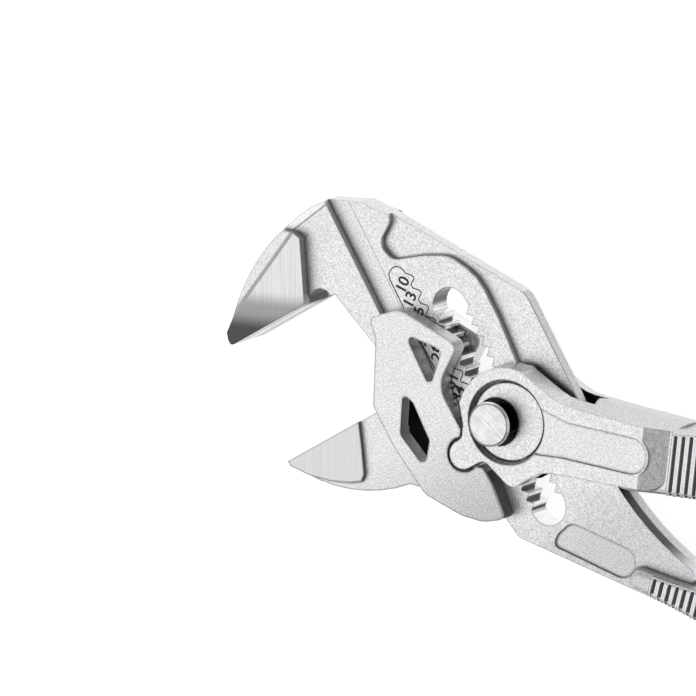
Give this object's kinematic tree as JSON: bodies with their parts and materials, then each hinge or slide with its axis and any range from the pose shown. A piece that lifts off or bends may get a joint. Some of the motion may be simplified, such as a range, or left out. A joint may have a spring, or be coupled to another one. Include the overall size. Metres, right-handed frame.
{
  "type": "pliers wrench",
  "caption": "Adjustable pliers wrench with smooth parallel jaws, a toothed slot, a push-button lock and two long steel handles.",
  "frame": {"origin": "on the lever's pivot axis, in the plane of the lever's rear face, on the flat rear cap that closes the lock", "axes": "+X along the gripping faces from the jaw tips towards the handles, +Y along the slot towards the fixed jaw, +Z out of the side with the push button"},
  "size_m": [0.2025, 0.2215, 0.016],
  "materials": {
    "satin_nickel": "satin, fine grained, with brushed flats beside the gripping faces",
    "bright_steel": "bright, lightly brushed",
    "dark_steel": "dark, hardened"
  },
  "bodies": {
    "frame": {"fixed_jaw": "satin_nickel"},
    "carriage": {"front_bush": "satin_nickel", "rear_bush": "satin_nickel", "rear_cap": "satin_nickel", "return_spring": "dark_steel"},
    "lever": {"lever_handle": "satin_nickel"},
    "jaw": {"sliding_jaw": "satin_nickel"},
    "lock": {"lock_bolt": "dark_steel", "push_button": "bright_steel"}
  },
  "joints": [
    {"name": "pivot_carriage", "type": "slide", "parent": "frame", "child": "carriage", "axis": [0, 1, 0], "range_m": [-0.00848, 0.01696]},
    {"name": "handle_swing", "type": "hinge", "parent": "carriage", "child": "lever", "pos_m": [0, 0, 0.0067], "axis": [0, 0, 1], "range_deg": [-7, 9]},
    {"name": "jaw_slide", "type": "slide", "parent": "carriage", "child": "jaw", "axis": [0, 1, 0], "range_m": [-0.0019, 0.0015]},
    {"name": "button_press", "type": "slide", "parent": "carriage", "child": "lock", "axis": [0, 0, -1], "range_m": [0, 0.0032], "stiffness_N_per_m": 600, "springref_m": -0.004, "deforming": ["return_spring"]}
  ],
  "couplings": [
    {"joint": "jaw_slide", "follows": "handle_swing", "m_per_rad": -0.0112}
  ]
}
